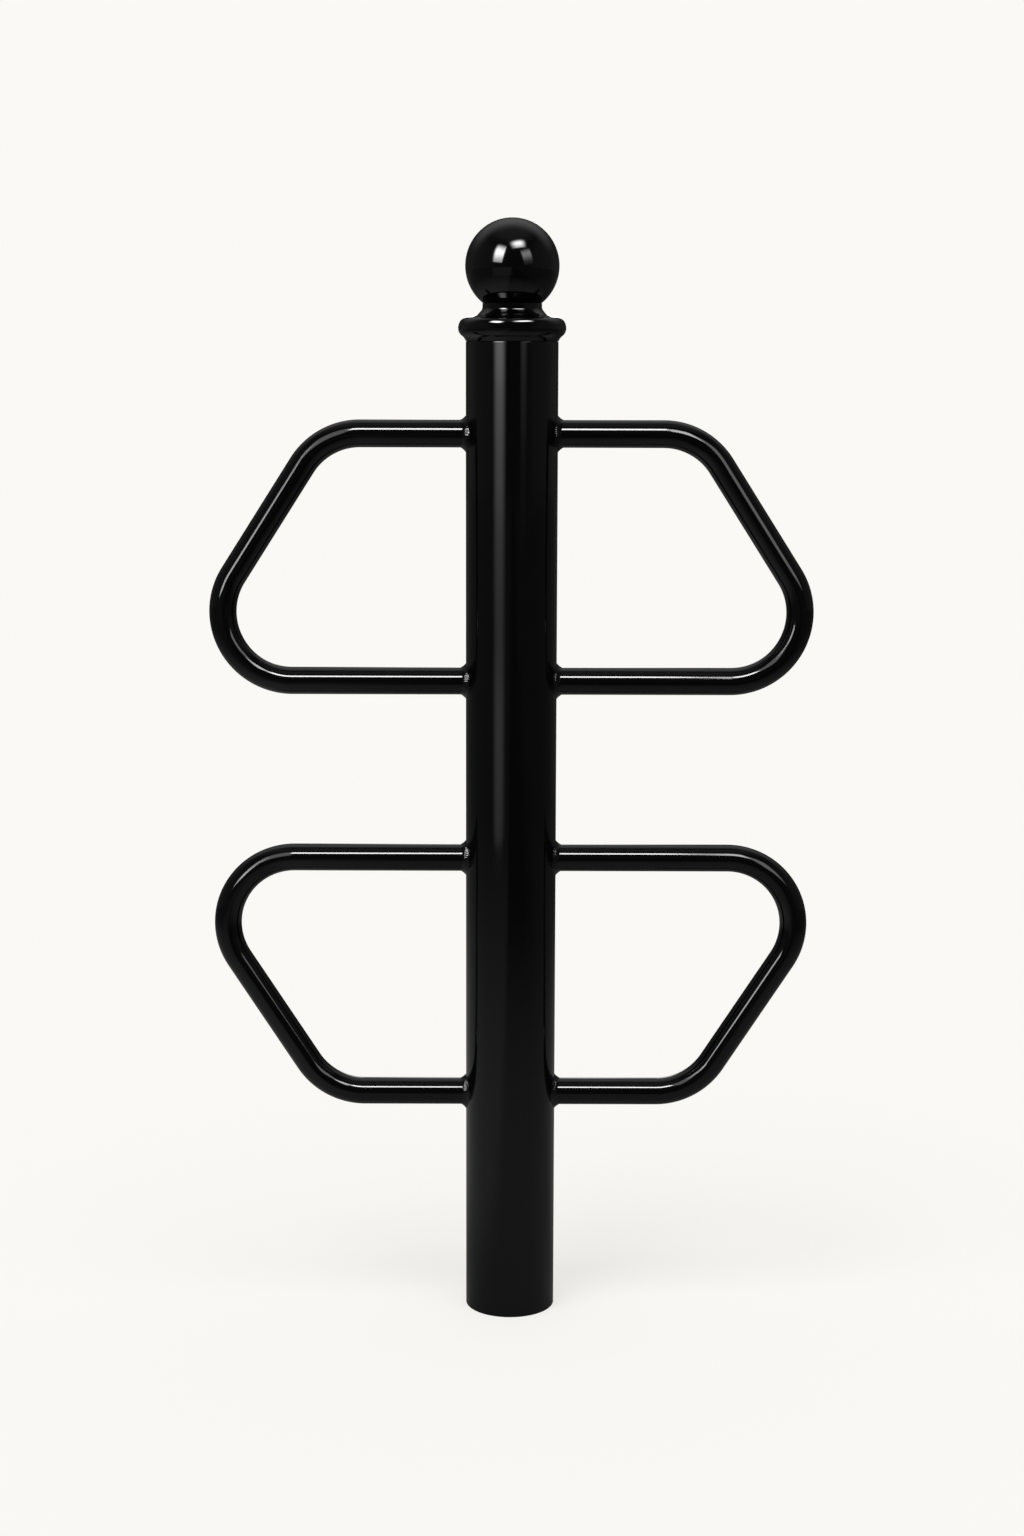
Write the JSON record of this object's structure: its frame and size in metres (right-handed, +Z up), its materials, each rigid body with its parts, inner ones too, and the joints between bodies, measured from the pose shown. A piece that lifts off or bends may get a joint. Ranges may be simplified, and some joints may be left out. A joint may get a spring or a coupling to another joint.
{
  "type": "bicycle stand",
  "caption": "Round post stand with a ball finial and bent tube loops on both sides, for leaning and locking bicycles.",
  "frame": {"origin": "centre of the post's foot, at the level of the ground it stands on", "axes": "+Z up along the post, +X along the loops to the right as seen in the picture, +Y away from the picture's camera, towards the side with the set screws"},
  "size_m": [0.5888, 0.1036, 1.083],
  "materials": {
    "post_paint": "gloss black powder coat on steel",
    "loop_paint": "gloss black powder coat on steel",
    "weld_paint": "gloss black powder coat over a fillet weld",
    "finial_paint": "gloss black powder coat on a smooth casting",
    "fastener_zinc": "bright zinc plate"
  },
  "bodies": {
    "root": {"post_tube": "post_paint", "finial_cap": "finial_paint", "finial_ball": "finial_paint", "finial_stud": "fastener_zinc", "finial_washer": "fastener_zinc", "finial_nut": "fastener_zinc", "left_set_screw": "fastener_zinc", "right_set_screw": "fastener_zinc", "upper_left_loop": "loop_paint", "upper_right_loop": "loop_paint", "lower_left_loop": "loop_paint", "lower_right_loop": "loop_paint", "upper_left_top_weld": "weld_paint", "upper_left_bottom_weld": "weld_paint", "upper_right_top_weld": "weld_paint", "upper_right_bottom_weld": "weld_paint", "lower_left_top_weld": "weld_paint", "lower_left_bottom_weld": "weld_paint", "lower_right_top_weld": "weld_paint", "lower_right_bottom_weld": "weld_paint"}
  },
  "joints": []
}
